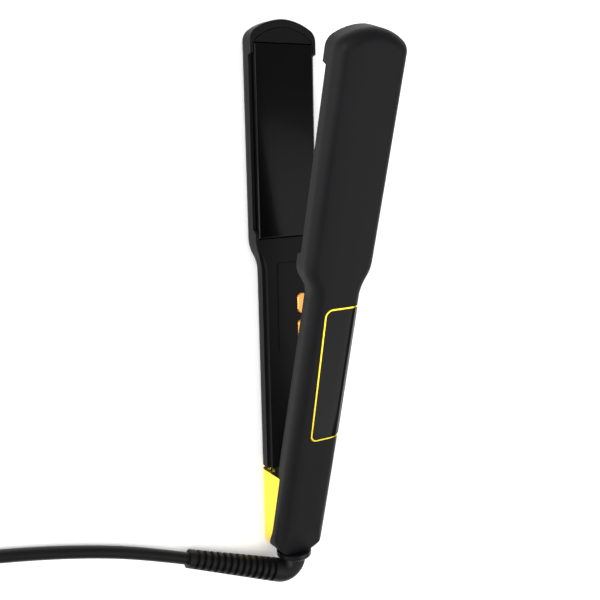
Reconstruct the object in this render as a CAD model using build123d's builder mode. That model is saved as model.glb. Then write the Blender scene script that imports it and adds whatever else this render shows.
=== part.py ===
"""Professional hair straightening iron with wide floating plates and a swivel cord.

Millimetres, +Z up. The iron lies on the back of its lower arm and its sprung upper arm stands open.
X runs across the arms (the hinge pin's direction), Y runs along the lower arm towards the tips, and
the origin is on the table under the middle of the iron without its cord.
"""

from build123d import *
import os
from math import cos, radians, sin, tan

os.makedirs("parts", exist_ok=True)

# ---- Driving dimensions -------------------------------------------------------------------
# Heating plates
PLATE_WIDTH = 38.0
PLATE_LENGTH = 109.0
PLATE_START = 161.0  # from the hinge pin to the plate's near end
PLATE_SKIN = 1.6
PLATE_EDGE = 1.0
PLATE_FLANGE = 6.0  # depth of the plate's side flanges
CLOSED_GAP = 0.3  # between the two plate faces when the iron is closed
HEATER_DEPTH = 2.0
CARRIER_DEPTH = 3.6
LEADS_START = 46.0
SCREW_RADIUS = 1.1

# Arms
HEAD_WIDTH = 42.4
HANDLE_WIDTH = 31.0
BASE_WIDTH = 33.2  # the upper arm at the hinge
WAIST_LENGTH = 20.0
TIP_REACH = 283.3  # from the hinge pin to the tips
TIP_CROWN = 8.0  # how far the rounded tip stands out past its corners
TIP_CORNER = 7.5
ARM_DEPTH = 15.5  # from the plane where the arms meet to the back of an arm
BACK_ROUND = 6.5
TAPER_START = 30.0  # from here the upper arm narrows to the handle's width
BACK_CROWN = 60.0
BACK_LAND = 12.0  # width of the flat strip along the back of each arm
BACK_CREASE = 0.015  # slope at which the crowned back leaves the flat strip
WALL = 1.9
TIP_WALL = 4.2
OPENING_ANGLE = 15.8
PIVOT_DROP = 1.1  # the pin's axis below the plane where the arms meet

# Parting between the outer and the inner shell, measured from the plane where the arms meet
INNER_FACE = 1.2
HANDLE_SPLIT = 5.0
RIM_TOP = 0.65
PLATE_CUT = 3.7
RIM_STEP = 6.4  # the tall rim past each end of the low stretch beside the plate
SPLIT_GAP = 0.3
INNER_INSET = 1.6  # the handle's inner face stands in from the outer shell's side
TRAY_FACE = 9.2
TRAY_SKIN = 1.4
TRAY_WIDTH = 34.0
LIP_SKIN = 1.4  # the inner shell's lip that laps inside the outer shell
LIP_LAP = 1.5

# Hinge
PIN_RADIUS = 2.0
RUNNING_CLEARANCE = 0.05
KNUCKLE_RADIUS = 5.0
LUG_WIDTH = 13.0
EAR_WIDTH = 5.4
BUSH_RADIUS = 3.0
STRAP_FACE = 7.7
STRAP_DEPTH = 3.0
STRAP_WIDTH = 18.0
HINGE_GAP = 0.35
ARM_END = 21.2  # the shells that meet the hinge cover end this far from the pin
COVER_WALL = 1.0
COVER_LIP = 19.5
COVER_TAIL = -31.5
COVER_FLOOR = 3.0  # the cover's underside above the table
COVER_EDGE = 6.0  # the cover's long edge, out from the plane where the arms meet
END_ROUND = 13.0
FLOOR_ROUND = 5.5
BASE_END = -34.5
END_RISE = 6.5  # the end wall's top edge above the swivel's axis

# Display and buttons
DISPLAY_LENGTH = 85.0
DISPLAY_START = 51.5
DISPLAY_WIDTH = 24.0
DISPLAY_TILT = 10.0
DISPLAY_X = 3.3
DISPLAY_SEAT = 12.1
DISPLAY_TAPER = 2.6
DISPLAY_ROUND = 4.5
SEAT_DEPTH = 1.6
BEZEL = 0.9
BEZEL_PROUD = 0.25
BUTTON_LENGTH = 12.4
BUTTON_WIDTH = 5.6
BUTTON_TRAVEL = 0.5
BUTTON_PITCH = 15.9
POWER_BUTTON_REACH = 120.8
BUTTON_X = 8.4
BUTTON_RAISE = 0.8
PANEL_START = 92.0
PANEL_LENGTH = 54.0
PANEL_WIDTH = 20.6
PANEL_X = 3.0
PANEL_RAISE = 0.4
PANEL_DEPTH = 1.2

# Electronics in the upper arm
MODULE_WIDTH = 15.6
MODULE_LENGTH = 59.6
MODULE_DEPTH = 3.2
BOARD_START = 51.0
BOARD_LENGTH = 86.0
BOARD_WIDTH = 21.0
BOARD_RAISE = 1.5  # height of the posts under the control board
BOARD_SKIN = 1.4
BOARD_SCREW_RADIUS = 1.0
LEAD_RADIUS = 0.9

# Hinge base and opening spring
BASE_SKIN = 2.1
BASE_FRONT = -6.5
BASE_GAP = 0.1
TONGUE_START = -16.0
TONGUE_END = 45.0
TONGUE_FACE = 7.0
TONGUE_DEPTH = 5.0
TONGUE_WIDTH = 18.0
BASE_SCREW_REACHES = (30.0, 40.0)
SPRING_Y = 13.0
SPRING_RADIUS = 3.2
SPRING_WIRE = 0.4
SPRING_TURNS = 6
CLIP_RADIUS = 3.8
CLIP_DEPTH = 0.8
GROOVE = 0.4

# Swivel and cord
SWIVEL_RADIUS = 10.8
SWIVEL_Z = 13.6
SWIVEL_GAP = 0.3
RETAINER_GAP = 0.9  # from the end wall to the ring that holds the swivel in
COLLAR_LENGTH = 3.6
COLLAR_ROUND = 1.4
NECK_RADIUS = 4.2
NECK_BORE = 2.6
NECK_GROOVE = 0.7
RETAINER_RADIUS = 5.4
RETAINER_DEPTH = 1.6
ELBOW_RADIUS = 7.2
ELBOW_BEND = 8.0
ELBOW_REACH = 11.8  # from the collar to the corner that the elbow turns round
RIB_START = 14.0  # from that corner to the first rib
RIB_COUNT = 13
RIB_GAP = 2.1
RIB_CORE = 0.66  # the core's share of a rib's radius
RELIEF_TIP_RADIUS = 5.45
RELIEF_COLLAR = 3.6
SPINE_WIDTH = 7.0
CORD_DIAMETER = 7.2
CORD_FLOOR = 0.1  # the cord's underside above the table
COIL_CENTRE = (-236.0, 64.0)
COIL_RADIUS = 41.0  # at the middle of the turns
COIL_COLUMNS = 3
COIL_LAYERS = 3
COIL_ENTRY = 261.0  # angle of the place where the cord joins the coil's outside
COIL_TAIL = 125.0  # how far the last turn runs on along the coil's top
PLUG_WIDTH = 24.0
PLUG_DEPTH = 14.4
PLUG_LENGTH = 27.0
PLUG_RELIEF = 20.0
PLUG_PIN_PITCH = 12.7

# ---- Frames -------------------------------------------------------------------------------
PIN_Z = ARM_DEPTH - PIVOT_DROP
OPEN = radians(OPENING_ANGLE)
# Each arm's frame: local X across, local Y from the pin to the tip, local Z out of the arm's back.
LOWER = Plane(origin=(0, 0, ARM_DEPTH), x_dir=(-1, 0, 0), z_dir=(0, 0, -1))
UPPER = Plane(
    origin=(0, -PIVOT_DROP * sin(OPEN), PIN_Z + PIVOT_DROP * cos(OPEN)),
    x_dir=(1, 0, 0),
    z_dir=(0, -sin(OPEN), cos(OPEN)),
)
PLATE_END = PLATE_START + PLATE_LENGTH
WAIST_END = PLATE_START - WAIST_LENGTH
HALF_HEAD = HEAD_WIDTH / 2
HALF_HANDLE = HANDLE_WIDTH / 2
HALF_BASE = BASE_WIDTH / 2
PIN_HALF = HALF_BASE - COVER_WALL - 0.3
EAR_START = LUG_WIDTH / 2 + HINGE_GAP
SCREW_PLACES = [(x, reach) for x in (-11, 11) for reach in (PLATE_START + 14, PLATE_END - 14)]
PAD_PLACES = [(x, reach) for x in (-11, 11) for reach in (PLATE_START + 34, PLATE_END - 34)]
PLATE_FACE = CLOSED_GAP / 2
HEATER_FACE = PLATE_FACE + PLATE_SKIN
CARRIER_FACE = HEATER_FACE + HEATER_DEPTH
# The drawing has its origin under the pin, and the saved pieces under the middle of the iron.
CENTRE_Y = (TIP_REACH + BASE_END) / 2


def across(arm, reach):
    """A plane across an arm at this reach from the pin: local X across, local Y outwards."""
    return Plane(origin=arm.from_local_coords((0, reach, 0)), x_dir=arm.x_dir, z_dir=-arm.y_dir)


def beside(arm, offset=0.0):
    """A plane along an arm, seen from the side: local X towards the tip, local Y outwards."""
    return Plane(origin=arm.from_local_coords((offset, 0, 0)), x_dir=arm.y_dir, z_dir=arm.x_dir)


def save(part, name):
    """Moves a piece from the drawing's origin to the iron's, and writes it."""
    placed = part.moved(Location((0, -CENTRE_Y, 0)))
    placed.label = name
    export_step(placed, f"parts/{name}.step")


# ---- Shared outlines ----------------------------------------------------------------------
def arm_outline(root, root_half, inset=0.0, tip_inset=0.0):
    """An arm seen from its back, from its root over the waist to its rounded tip, set in by a wall."""
    reach = TIP_REACH - tip_inset
    shoulder = reach - TIP_CROWN
    handle = (HALF_HANDLE - inset, WAIST_END)
    head = (HALF_HEAD - inset, PLATE_START)
    middle = ((handle[0] + head[0]) / 2, (handle[1] + head[1]) / 2)
    with BuildSketch(mode=Mode.PRIVATE) as outline:
        with BuildLine():
            Polyline((0, root + inset), (root_half - inset, root + inset), (root_half - inset, TAPER_START), handle)
            concave = TangentArc(handle, middle, tangent=(0, 1))
            TangentArc(middle, head, tangent=concave % 1)
            Line(head, (head[0], shoulder))
            ThreePointArc((head[0], shoulder), (head[0] * 0.52, reach - TIP_CROWN * 0.27), (0, reach))
            mirror(about=Plane.YZ)
        make_face()
        fillet(outline.vertices().group_by(Axis.Y)[-2], TIP_CORNER - inset)
    return outline.sketch


def back_section(half_width, depth, corner=0.0):
    """The section of an arm's back: a flat land down the middle and a gentle arc to each side."""
    edge = depth - BACK_CROWN + (BACK_CROWN**2 - (half_width - BACK_LAND / 2) ** 2) ** 0.5
    with BuildSketch(mode=Mode.PRIVATE) as section:
        with BuildLine():
            Polyline((0, -3 * depth), (half_width, -3 * depth), (half_width, edge))
            land = Line((0, depth), (BACK_LAND / 2, depth))
            TangentArc(land @ 1, (half_width, edge), tangent=(1, -BACK_CREASE))
            mirror(about=Plane.YZ)
        make_face()
        if corner:
            outer = section.vertices().filter_by(lambda v: abs(v.X) > half_width - 0.1 and v.Y > 0)
            fillet(outer, corner)
    return section.sketch


def arm_form(arm, root, root_half, inset=0.0, tip_inset=0.0, depth=ARM_DEPTH):
    """An arm as a block from the plane where the arms meet: outline, crowned back, rounded edges."""

    def on_rim(edge):
        middle = arm.to_local_coords(edge @ 0.5)
        along_land = edge.length > BACK_LAND * 2 and abs(abs(middle.X) - BACK_LAND / 2) < 0.1
        return middle.Z > depth - 6 and middle.Y > root + inset + 0.5 and not along_land

    with BuildPart(mode=Mode.PRIVATE) as form:
        with BuildSketch(arm):
            add(arm_outline(root, root_half, inset, tip_inset))
        extrude(amount=depth)
        with BuildSketch(across(arm, root)):
            add(back_section(HALF_HEAD + 1, depth))
        extrude(amount=root - TIP_REACH - 1, mode=Mode.INTERSECT)
        fillet(form.edges().filter_by(on_rim), BACK_ROUND - inset)
    return form.part


def parting(root, drop=0.0):
    """The side view of everything on the inner side of the line where the two shells of an arm meet.

    The line runs level along the handle, rises over the waist to the tall rim at the head, drops
    beside the plate so that the plate stands proud, and rises again round the tip.
    """
    rise_start = (WAIST_END + 2, HANDLE_SPLIT - drop)
    rise_end = (PLATE_START - 3, RIM_TOP - drop)
    cut_start = PLATE_START + RIM_STEP - 3
    cut_end = PLATE_END - RIM_STEP
    with BuildSketch(mode=Mode.PRIVATE) as region:
        with BuildLine():
            Polyline(rise_start, (root - 5, HANDLE_SPLIT - drop), (root - 5, -9), (TIP_REACH + 5, -9),
                     (TIP_REACH + 5, RIM_TOP - drop), (cut_end + 1, RIM_TOP - drop),
                     (cut_end, PLATE_CUT - drop), (cut_start + 2, PLATE_CUT - drop),
                     (cut_start, RIM_TOP - drop), rise_end)
            Spline(rise_end, rise_start, tangents=[(-1, 0), (-1, 0)])
        make_face()
    return region.sketch


# ---- Shells -------------------------------------------------------------------------------
# The hinge end is drawn in side view: local X is the row's Y and local Y its Z.
SIDE = Plane.YZ


def upper_point(reach, out):
    """A point of the upper arm's side view, as seen in the side view of the whole iron."""
    point = UPPER.from_local_coords((0, reach, out))
    return (point.Y, point.Z)


def corner_waste(half, base, radius):
    """What lies outside the two rounded lower corners of a section that is this wide."""
    with BuildSketch(mode=Mode.PRIVATE) as waste:
        with BuildLine():
            RadiusArc((half - radius, base), (half, base + radius), -radius)
            Polyline((half, base + radius), (half + 1, base + radius), (half + 1, base - 1),
                     (half - radius, base - 1), (half - radius, base))
        make_face()
        mirror(about=Plane.YZ)
    return waste.sketch


def hinge_end(inset=0.0):
    """The block that the base and the hinge cover are cut from, set in by a wall but for its open lip."""
    floor = COVER_FLOOR + inset
    end = BASE_END + inset
    lip = COVER_LIP + inset
    half = HALF_BASE - inset
    depth = ARM_DEPTH - inset
    bend = FLOOR_ROUND - inset
    back = [upper_point(reach, depth) for reach in (COVER_LIP + 5, -4)]
    with BuildPart(mode=Mode.PRIVATE) as block:
        # seen from the side: the lip, the arm's back, the shoulder round to the end wall, the floor
        with BuildSketch(SIDE):
            with BuildLine():
                Polyline((end + bend, floor), (lip, floor), (lip, back[0][1] - 3), back[0])
                top = Line(*back)
                shoulder = TangentArc(back[1], (end, SWIVEL_Z + END_RISE), tangent=top % 1)
                Line(shoulder @ 1, (end, floor + bend))
                RadiusArc((end, floor + bend), (end + bend, floor), -bend)
            make_face()
        extrude(amount=half, both=True)
        # the end wall's round corners, cut from below, and the floor's, cut along the row
        with BuildSketch(Plane.XY):
            add(corner_waste(half, end, END_ROUND - inset))
        extrude(amount=3 * ARM_DEPTH, mode=Mode.SUBTRACT)
        with BuildSketch(Plane.XZ.offset(-60)):
            add(corner_waste(half, floor, bend))
        extrude(amount=120, mode=Mode.SUBTRACT)
        # the crowned back and its round edges, cut along the upper arm as on the arm itself
        section = back_section(half, depth, BACK_ROUND - inset)
        round_start = section.vertices().group_by(Axis.X)[-1].sort_by(Axis.Y)[-1].Y
        with BuildSketch(across(UPPER, -90)):
            with Locations((0, round_start)):
                Rectangle(BASE_WIDTH + 2, 2 * ARM_DEPTH, align=(Align.CENTER, Align.MIN))
            add(section, mode=Mode.SUBTRACT)
            with Locations((0, depth + ARM_DEPTH)):
                Rectangle(BACK_LAND, 2 * ARM_DEPTH, mode=Mode.SUBTRACT)
        extrude(amount=-180, mode=Mode.SUBTRACT)
    return block.part


COVER_FACE = [
    (COVER_LIP + 1, -1),
    (COVER_LIP + 1, upper_point(COVER_LIP + 2.3, COVER_EDGE)[1]),
    upper_point(COVER_LIP + 2.3, COVER_EDGE),
    upper_point(-14, COVER_EDGE),
]


def cover_side(grow=0.0):
    """The side view of the hinge cover: a wedge whose long edge follows the upper arm."""
    start = COVER_FACE[2]
    bend = COVER_FACE[3]
    with BuildSketch(mode=Mode.PRIVATE) as side:
        with BuildLine():
            Polyline((COVER_TAIL, -1), COVER_FACE[0], COVER_FACE[1], start)
            edge = Line(start, bend)
            TangentArc(bend, (COVER_TAIL, SWIVEL_Z - 8), tangent=edge % 1)
            Line((COVER_TAIL, SWIVEL_Z - 8), (COVER_TAIL, -1))
        make_face()
        if grow:
            offset(amount=grow)
    return side.sketch


def shell_blank(arm, root, root_half):
    """An arm's outer shell before its details: its back and its walls down to the parting line."""
    with BuildPart(mode=Mode.PRIVATE) as shell:
        add(arm_form(arm, root, root_half))
        add(arm_form(arm, root, root_half, WALL, TIP_WALL, ARM_DEPTH - WALL), mode=Mode.SUBTRACT)
        with BuildSketch(beside(arm)):
            add(parting(root))
        extrude(amount=HALF_HEAD + 1, both=True, mode=Mode.SUBTRACT)
        # bosses that the tray is screwed to
        with BuildSketch(arm.offset(TRAY_FACE + TRAY_SKIN)):
            with Locations(*SCREW_PLACES):
                Circle(SCREW_RADIUS + 1.7)
                Circle(SCREW_RADIUS, mode=Mode.SUBTRACT)
        extrude(amount=ARM_DEPTH - WALL / 2 - TRAY_FACE - TRAY_SKIN)
    return shell.part


def inner_shell(arm, root, root_half):
    """An arm's inner shell: the handle's inner face, the tray under the plate and the tip cover."""
    lap = WALL + SPLIT_GAP
    with BuildPart(mode=Mode.PRIVATE) as shell:
        # the handle's inner face, out to the parting line
        with BuildSketch(arm.offset(INNER_FACE)):
            add(arm_outline(root - INNER_INSET, root_half, INNER_INSET))
            with Locations((0, PLATE_START - 0.5)):
                Rectangle(HEAD_WIDTH * 2, TIP_REACH, align=(Align.CENTER, Align.MIN), mode=Mode.SUBTRACT)
        extrude(amount=HANDLE_SPLIT)
        with BuildSketch(beside(arm)):
            add(parting(root, SPLIT_GAP))
        extrude(amount=HALF_HEAD + 1, both=True, mode=Mode.INTERSECT)
        # the lip that laps inside the outer shell, and the hollow
        with BuildSketch(arm.offset(INNER_FACE)):
            add(arm_outline(root, root_half, lap, TIP_WALL))
            with Locations((0, PLATE_START - 0.5)):
                Rectangle(HEAD_WIDTH * 2, TIP_REACH, align=(Align.CENTER, Align.MIN), mode=Mode.SUBTRACT)
        extrude(amount=HANDLE_SPLIT + LIP_LAP - INNER_FACE)
        with BuildSketch(arm.offset(INNER_FACE + WALL)):
            add(arm_outline(root, root_half, lap + LIP_SKIN, TIP_WALL))
            with Locations((0, PLATE_START - 0.5 - LIP_SKIN)):
                Rectangle(HEAD_WIDTH * 2, TIP_REACH, align=(Align.CENTER, Align.MIN), mode=Mode.SUBTRACT)
        extrude(amount=ARM_DEPTH, mode=Mode.SUBTRACT)
        # the tip cover
        with BuildSketch(arm.offset(RIM_TOP)):
            add(arm_outline(root, root_half, lap, TIP_WALL + SPLIT_GAP))
            with Locations((0, PLATE_END + 0.5)):
                Rectangle(HEAD_WIDTH * 2, TIP_REACH, align=(Align.CENTER, Align.MAX), mode=Mode.SUBTRACT)
        extrude(amount=WALL)
        # the tray under the plate, hung from walls at both ends
        with BuildSketch(arm.offset(TRAY_FACE)):
            with Locations((0, PLATE_START - 0.5 - LIP_SKIN)):
                Rectangle(TRAY_WIDTH, PLATE_LENGTH + 1 + 2 * LIP_SKIN, align=(Align.CENTER, Align.MIN))
        extrude(amount=TRAY_SKIN)
        with BuildSketch(arm.offset(INNER_FACE)):
            for reach in (PLATE_START - 0.5 - LIP_SKIN, PLATE_END + 0.5):
                with Locations((0, reach)):
                    Rectangle(TRAY_WIDTH, LIP_SKIN, align=(Align.CENTER, Align.MIN))
        extrude(amount=TRAY_FACE - INNER_FACE + TRAY_SKIN)
        with BuildSketch(arm.offset(TRAY_FACE)):
            with Locations(*SCREW_PLACES):
                Circle(SCREW_RADIUS)
        extrude(amount=TRAY_SKIN, mode=Mode.SUBTRACT)
    return shell.part



# ---- Lower arm ----------------------------------------------------------------------------
with BuildPart() as lower_outer_shell:
    add(shell_blank(LOWER, ARM_END, HALF_HANDLE))
    # the slot that the hinge fork's strap passes through
    with BuildSketch(across(LOWER, ARM_END - 1)):
        with Locations((0, STRAP_FACE + STRAP_DEPTH / 2)):
            Rectangle(STRAP_WIDTH + 0.4, STRAP_DEPTH + 0.4)
    extrude(amount=-WALL - 2, mode=Mode.SUBTRACT)
save(lower_outer_shell.part, "lower_outer_shell")

BUTTON_REACHES = (POWER_BUTTON_REACH, POWER_BUTTON_REACH - BUTTON_PITCH)
BUTTON_PLACES = [(-BUTTON_X, reach) for reach in BUTTON_REACHES]

with BuildPart() as lower_inner_shell:
    add(inner_shell(LOWER, ARM_END, HALF_HANDLE))
    # the shallow recess for the button panel, and the openings for the buttons
    with BuildSketch(LOWER.offset(INNER_FACE)):
        with Locations((-PANEL_X, PANEL_START + PANEL_LENGTH / 2)):
            RectangleRounded(PANEL_WIDTH, PANEL_LENGTH, 2)
    extrude(amount=PANEL_DEPTH - PANEL_RAISE, mode=Mode.SUBTRACT)
    with BuildSketch(LOWER.offset(INNER_FACE)):
        with Locations(*BUTTON_PLACES):
            SlotOverall(BUTTON_LENGTH + 0.6, BUTTON_WIDTH + 0.6, rotation=90)
    extrude(amount=WALL, mode=Mode.SUBTRACT)
save(lower_inner_shell.part, "lower_inner_shell")

with BuildPart() as button_panel:
    with BuildSketch(LOWER.offset(INNER_FACE - PANEL_RAISE)):
        with Locations((-PANEL_X, PANEL_START + PANEL_LENGTH / 2)):
            RectangleRounded(PANEL_WIDTH - 0.2, PANEL_LENGTH - 0.2, 1.9)
        with Locations(*BUTTON_PLACES):
            SlotOverall(BUTTON_LENGTH + 0.6, BUTTON_WIDTH + 0.6, rotation=90, mode=Mode.SUBTRACT)
    extrude(amount=PANEL_DEPTH)
save(button_panel.part, "button_panel")

BUTTON_TOP = INNER_FACE - PANEL_RAISE - BUTTON_RAISE
BUTTON_FLANGE = INNER_FACE + WALL + 0.15
for name, place in zip(("power_button", "mode_button"), BUTTON_PLACES):
    with BuildPart() as button:
        with BuildSketch(LOWER.offset(BUTTON_TOP)):
            with Locations(place):
                SlotOverall(BUTTON_LENGTH, BUTTON_WIDTH, rotation=90)
        extrude(amount=BUTTON_FLANGE - BUTTON_TOP)
        chamfer(button.faces().sort_by(Axis.Z)[-1].edges(), 0.5)
        with BuildSketch(LOWER.offset(BUTTON_FLANGE)):
            with Locations(place):
                SlotOverall(BUTTON_LENGTH + 1, BUTTON_WIDTH + 1, rotation=90)
        extrude(amount=0.8)
    save(button.part, name)

BOARD_FACE = BUTTON_FLANGE + 0.8 + BUTTON_TRAVEL + 1.7
with BuildPart() as button_switches:
    with BuildSketch(LOWER.offset(BOARD_FACE - 1.6)):
        with Locations(*BUTTON_PLACES):
            Rectangle(5, 6)
    extrude(amount=1.6)
save(button_switches.part, "button_switches")

with BuildPart() as button_board:
    with BuildSketch(LOWER.offset(BOARD_FACE)):
        with Locations((-BUTTON_X + 4, POWER_BUTTON_REACH - BUTTON_PITCH / 2)):
            Rectangle(14, 44)
    extrude(amount=1.2)
save(button_board.part, "button_board")

with BuildPart() as hinge_fork:
    with BuildSketch(beside(LOWER)):
        with Locations((0, PIVOT_DROP)):
            Circle(KNUCKLE_RADIUS)
        with Locations((ARM_END / 2, STRAP_FACE + STRAP_DEPTH / 2)):
            Rectangle(ARM_END / 2, STRAP_DEPTH)
        make_hull()
    extrude(amount=EAR_START + EAR_WIDTH, both=True)
    # the room between the ears, over the strap
    with BuildSketch(beside(LOWER)):
        with Locations((0, PIVOT_DROP)):
            Circle(KNUCKLE_RADIUS + 1.5)
        with Locations((0, STRAP_FACE)):
            Rectangle(2 * ARM_END, 2 * ARM_END, align=(Align.CENTER, Align.MAX))
    extrude(amount=EAR_START, both=True, mode=Mode.SUBTRACT)
    with BuildSketch(LOWER.offset(STRAP_FACE)):
        with Locations((0, KNUCKLE_RADIUS + 2)):
            Rectangle(STRAP_WIDTH, ARM_END + 22 - KNUCKLE_RADIUS, align=(Align.CENTER, Align.MIN))
    extrude(amount=STRAP_DEPTH)
    with BuildSketch(beside(LOWER)):
        with Locations((0, PIVOT_DROP)):
            Circle(BUSH_RADIUS)
    extrude(amount=HALF_BASE, both=True, mode=Mode.SUBTRACT)
save(hinge_fork.part, "hinge_fork")

with BuildPart() as hinge_bushes:
    with BuildSketch(beside(LOWER, EAR_START), beside(LOWER, -EAR_START - EAR_WIDTH)):
        with Locations((0, PIVOT_DROP)):
            Circle(BUSH_RADIUS)
            Circle(PIN_RADIUS + RUNNING_CLEARANCE, mode=Mode.SUBTRACT)
    extrude(amount=EAR_WIDTH)
save(hinge_bushes.part, "hinge_bushes")


# ---- Heating plates, the same in both arms ------------------------------------------------
def plate(arm, name):
    """A heating plate: a polished aluminium channel, its long edges eased."""
    with BuildPart() as channel:
        with BuildSketch(across(arm, PLATE_START)):
            with Locations((0, PLATE_FACE)):
                Rectangle(PLATE_WIDTH, PLATE_FLANGE, align=(Align.CENTER, Align.MIN))
            with Locations((0, HEATER_FACE)):
                Rectangle(PLATE_WIDTH - 3, PLATE_FLANGE, align=(Align.CENTER, Align.MIN), mode=Mode.SUBTRACT)
        extrude(amount=-PLATE_LENGTH)
        face_edges = channel.edges().filter_by(
            lambda e: abs(arm.to_local_coords(e @ 0.5).Z - PLATE_FACE) < 0.01)
        fillet(face_edges, PLATE_EDGE)
    save(channel.part, f"{name}_plate")


def heating_stack(arm, name):
    """What rides with a plate: its heater, the carrier behind it and one sensor."""
    middle = PLATE_START + PLATE_LENGTH / 2
    with BuildPart() as heater:
        with BuildSketch(arm.offset(HEATER_FACE)):
            with Locations((0, middle)):
                Rectangle(22, PLATE_LENGTH - 24)
        extrude(amount=HEATER_DEPTH)
    save(heater.part, f"{name}_heater")
    with BuildPart() as carrier:
        with BuildSketch(arm.offset(CARRIER_FACE)):
            with Locations((0, middle)):
                Rectangle(PLATE_WIDTH - 3.4, PLATE_LENGTH - 3)
                Rectangle(8, 20, mode=Mode.SUBTRACT)
            with Locations(*SCREW_PLACES):
                Circle(3.2, mode=Mode.SUBTRACT)
        extrude(amount=CARRIER_DEPTH)
    save(carrier.part, f"{name}_plate_carrier")
    with BuildPart() as pads:
        with BuildSketch(arm.offset(CARRIER_FACE + CARRIER_DEPTH)):
            with Locations(*PAD_PLACES):
                Rectangle(7, 14)
        extrude(amount=TRAY_FACE - CARRIER_FACE - CARRIER_DEPTH)
    save(pads.part, f"{name}_cushion_pads")
    with BuildPart() as screws:
        with BuildSketch(arm.offset(TRAY_FACE)):
            with Locations(*SCREW_PLACES):
                Circle(SCREW_RADIUS)
        extrude(amount=ARM_DEPTH - WALL - TRAY_FACE - 0.6)
        with BuildSketch(arm.offset(TRAY_FACE)):
            with Locations(*SCREW_PLACES):
                Circle(SCREW_RADIUS + 1)
        extrude(amount=-0.8)
    save(screws.part, f"{name}_tray_screws")


for arm, name in ((LOWER, "lower"), (UPPER, "upper")):
    plate(arm, name)
    heating_stack(arm, name)

SENSOR_PLACE = PLATE_START + PLATE_LENGTH / 2
for arm, name, radius, length in ((LOWER, "thermal_fuse", 1.7, 11.0), (UPPER, "temperature_sensor", 1.2, 6.0)):
    with BuildPart() as sensor:
        with BuildSketch(across(arm, SENSOR_PLACE - length / 2)):
            with Locations((0, CARRIER_FACE + radius)):
                Circle(radius)
        extrude(amount=-length)
    save(sensor.part, name)

for arm, name, side in ((LOWER, "lower", 1), (UPPER, "upper", -1)):
    with BuildPart() as leads:
        with BuildSketch(across(arm, LEADS_START)):
            with Locations((side * 8.2, 10.6), (side * 10.6, 10.6)):
                Circle(LEAD_RADIUS)
        extrude(amount=LEADS_START - PLATE_START + 8)
    save(leads.part, f"{name}_heater_leads")


# ---- Upper arm ----------------------------------------------------------------------------
# The display lies across the far shoulder of the arm's back, so its plane leans that way.
LEAN = radians(DISPLAY_TILT)
DISPLAY = Plane(
    origin=UPPER.from_local_coords((DISPLAY_X, DISPLAY_START + DISPLAY_LENGTH / 2, DISPLAY_SEAT)),
    x_dir=UPPER.x_dir * cos(LEAN) - UPPER.z_dir * sin(LEAN),
    z_dir=UPPER.x_dir * sin(LEAN) + UPPER.z_dir * cos(LEAN),
)


def display_outline(inset=0.0):
    """The display window's outline, a little narrower towards the hinge."""
    half = DISPLAY_WIDTH / 2
    long = DISPLAY_LENGTH / 2
    with BuildSketch(mode=Mode.PRIVATE) as outline:
        with BuildLine():
            Polyline((-half, long), (half, long), (half, -long), (-half + DISPLAY_TAPER, -long), (-half, long))
        make_face()
        fillet(outline.vertices(), DISPLAY_ROUND)
        if inset:
            offset(amount=-inset)
    return outline.sketch


def display_slice(outer, outline):
    """The part of a block that lies above the display's seat and inside an outline."""
    with BuildPart(mode=Mode.PRIVATE) as piece:
        add(outer)
        with BuildSketch(DISPLAY):
            add(outline)
        extrude(amount=ARM_DEPTH, mode=Mode.INTERSECT)
    return piece.part


with BuildPart(mode=Mode.PRIVATE) as display_seat:
    add(arm_form(UPPER, COVER_LIP, HALF_BASE))
    with BuildSketch(DISPLAY.offset(-SEAT_DEPTH)):
        Rectangle(DISPLAY_WIDTH + 4, DISPLAY_LENGTH + 4)
    extrude(amount=SEAT_DEPTH, mode=Mode.INTERSECT)


def end_plane(y):
    """A plane across the swivel's axis, facing away from the arms."""
    return Plane(origin=(0, y, SWIVEL_Z), x_dir=(1, 0, 0), z_dir=(0, -1, 0))


with BuildPart() as upper_outer_shell:
    add(arm_form(UPPER, COVER_LIP, HALF_BASE))
    add(hinge_end())
    add(arm_form(UPPER, COVER_LIP - WALL, HALF_BASE, WALL, TIP_WALL, ARM_DEPTH - WALL), mode=Mode.SUBTRACT)
    add(hinge_end(WALL), mode=Mode.SUBTRACT)
    add(display_seat.part)
    with BuildSketch(beside(UPPER)):
        add(parting(COVER_LIP))
    extrude(amount=HALF_HEAD + 1, both=True, mode=Mode.SUBTRACT)
    with BuildSketch(SIDE):
        add(cover_side(BASE_GAP))
    extrude(amount=HALF_HEAD + 1, both=True, mode=Mode.SUBTRACT)
    # the display's pocket, and the window in its seat
    with BuildSketch(DISPLAY):
        add(display_outline())
    extrude(amount=ARM_DEPTH, mode=Mode.SUBTRACT)
    with BuildSketch(DISPLAY.offset(-SEAT_DEPTH - 1)):
        Rectangle(MODULE_WIDTH + 0.4, MODULE_LENGTH + 0.4)
    extrude(amount=SEAT_DEPTH + 2, mode=Mode.SUBTRACT)
    # bosses for the tray and for the hinge base
    with BuildSketch(UPPER.offset(TRAY_FACE + TRAY_SKIN)):
        with Locations(*SCREW_PLACES):
            Circle(SCREW_RADIUS + 1.7)
            Circle(SCREW_RADIUS, mode=Mode.SUBTRACT)
    extrude(amount=ARM_DEPTH - WALL / 2 - TRAY_FACE - TRAY_SKIN)
    with BuildSketch(UPPER.offset(TONGUE_FACE + TONGUE_DEPTH)):
        for reach in BASE_SCREW_REACHES:
            with Locations((0, reach)):
                Circle(SCREW_RADIUS + 1.7)
                Circle(SCREW_RADIUS, mode=Mode.SUBTRACT)
    extrude(amount=ARM_DEPTH - WALL / 2 - TONGUE_FACE - TONGUE_DEPTH)
    # the hole for the swivel's neck
    with BuildSketch(end_plane(BASE_END + WALL + 1)):
        Circle(NECK_RADIUS + RUNNING_CLEARANCE)
    extrude(amount=WALL + 2, mode=Mode.SUBTRACT)
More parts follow.
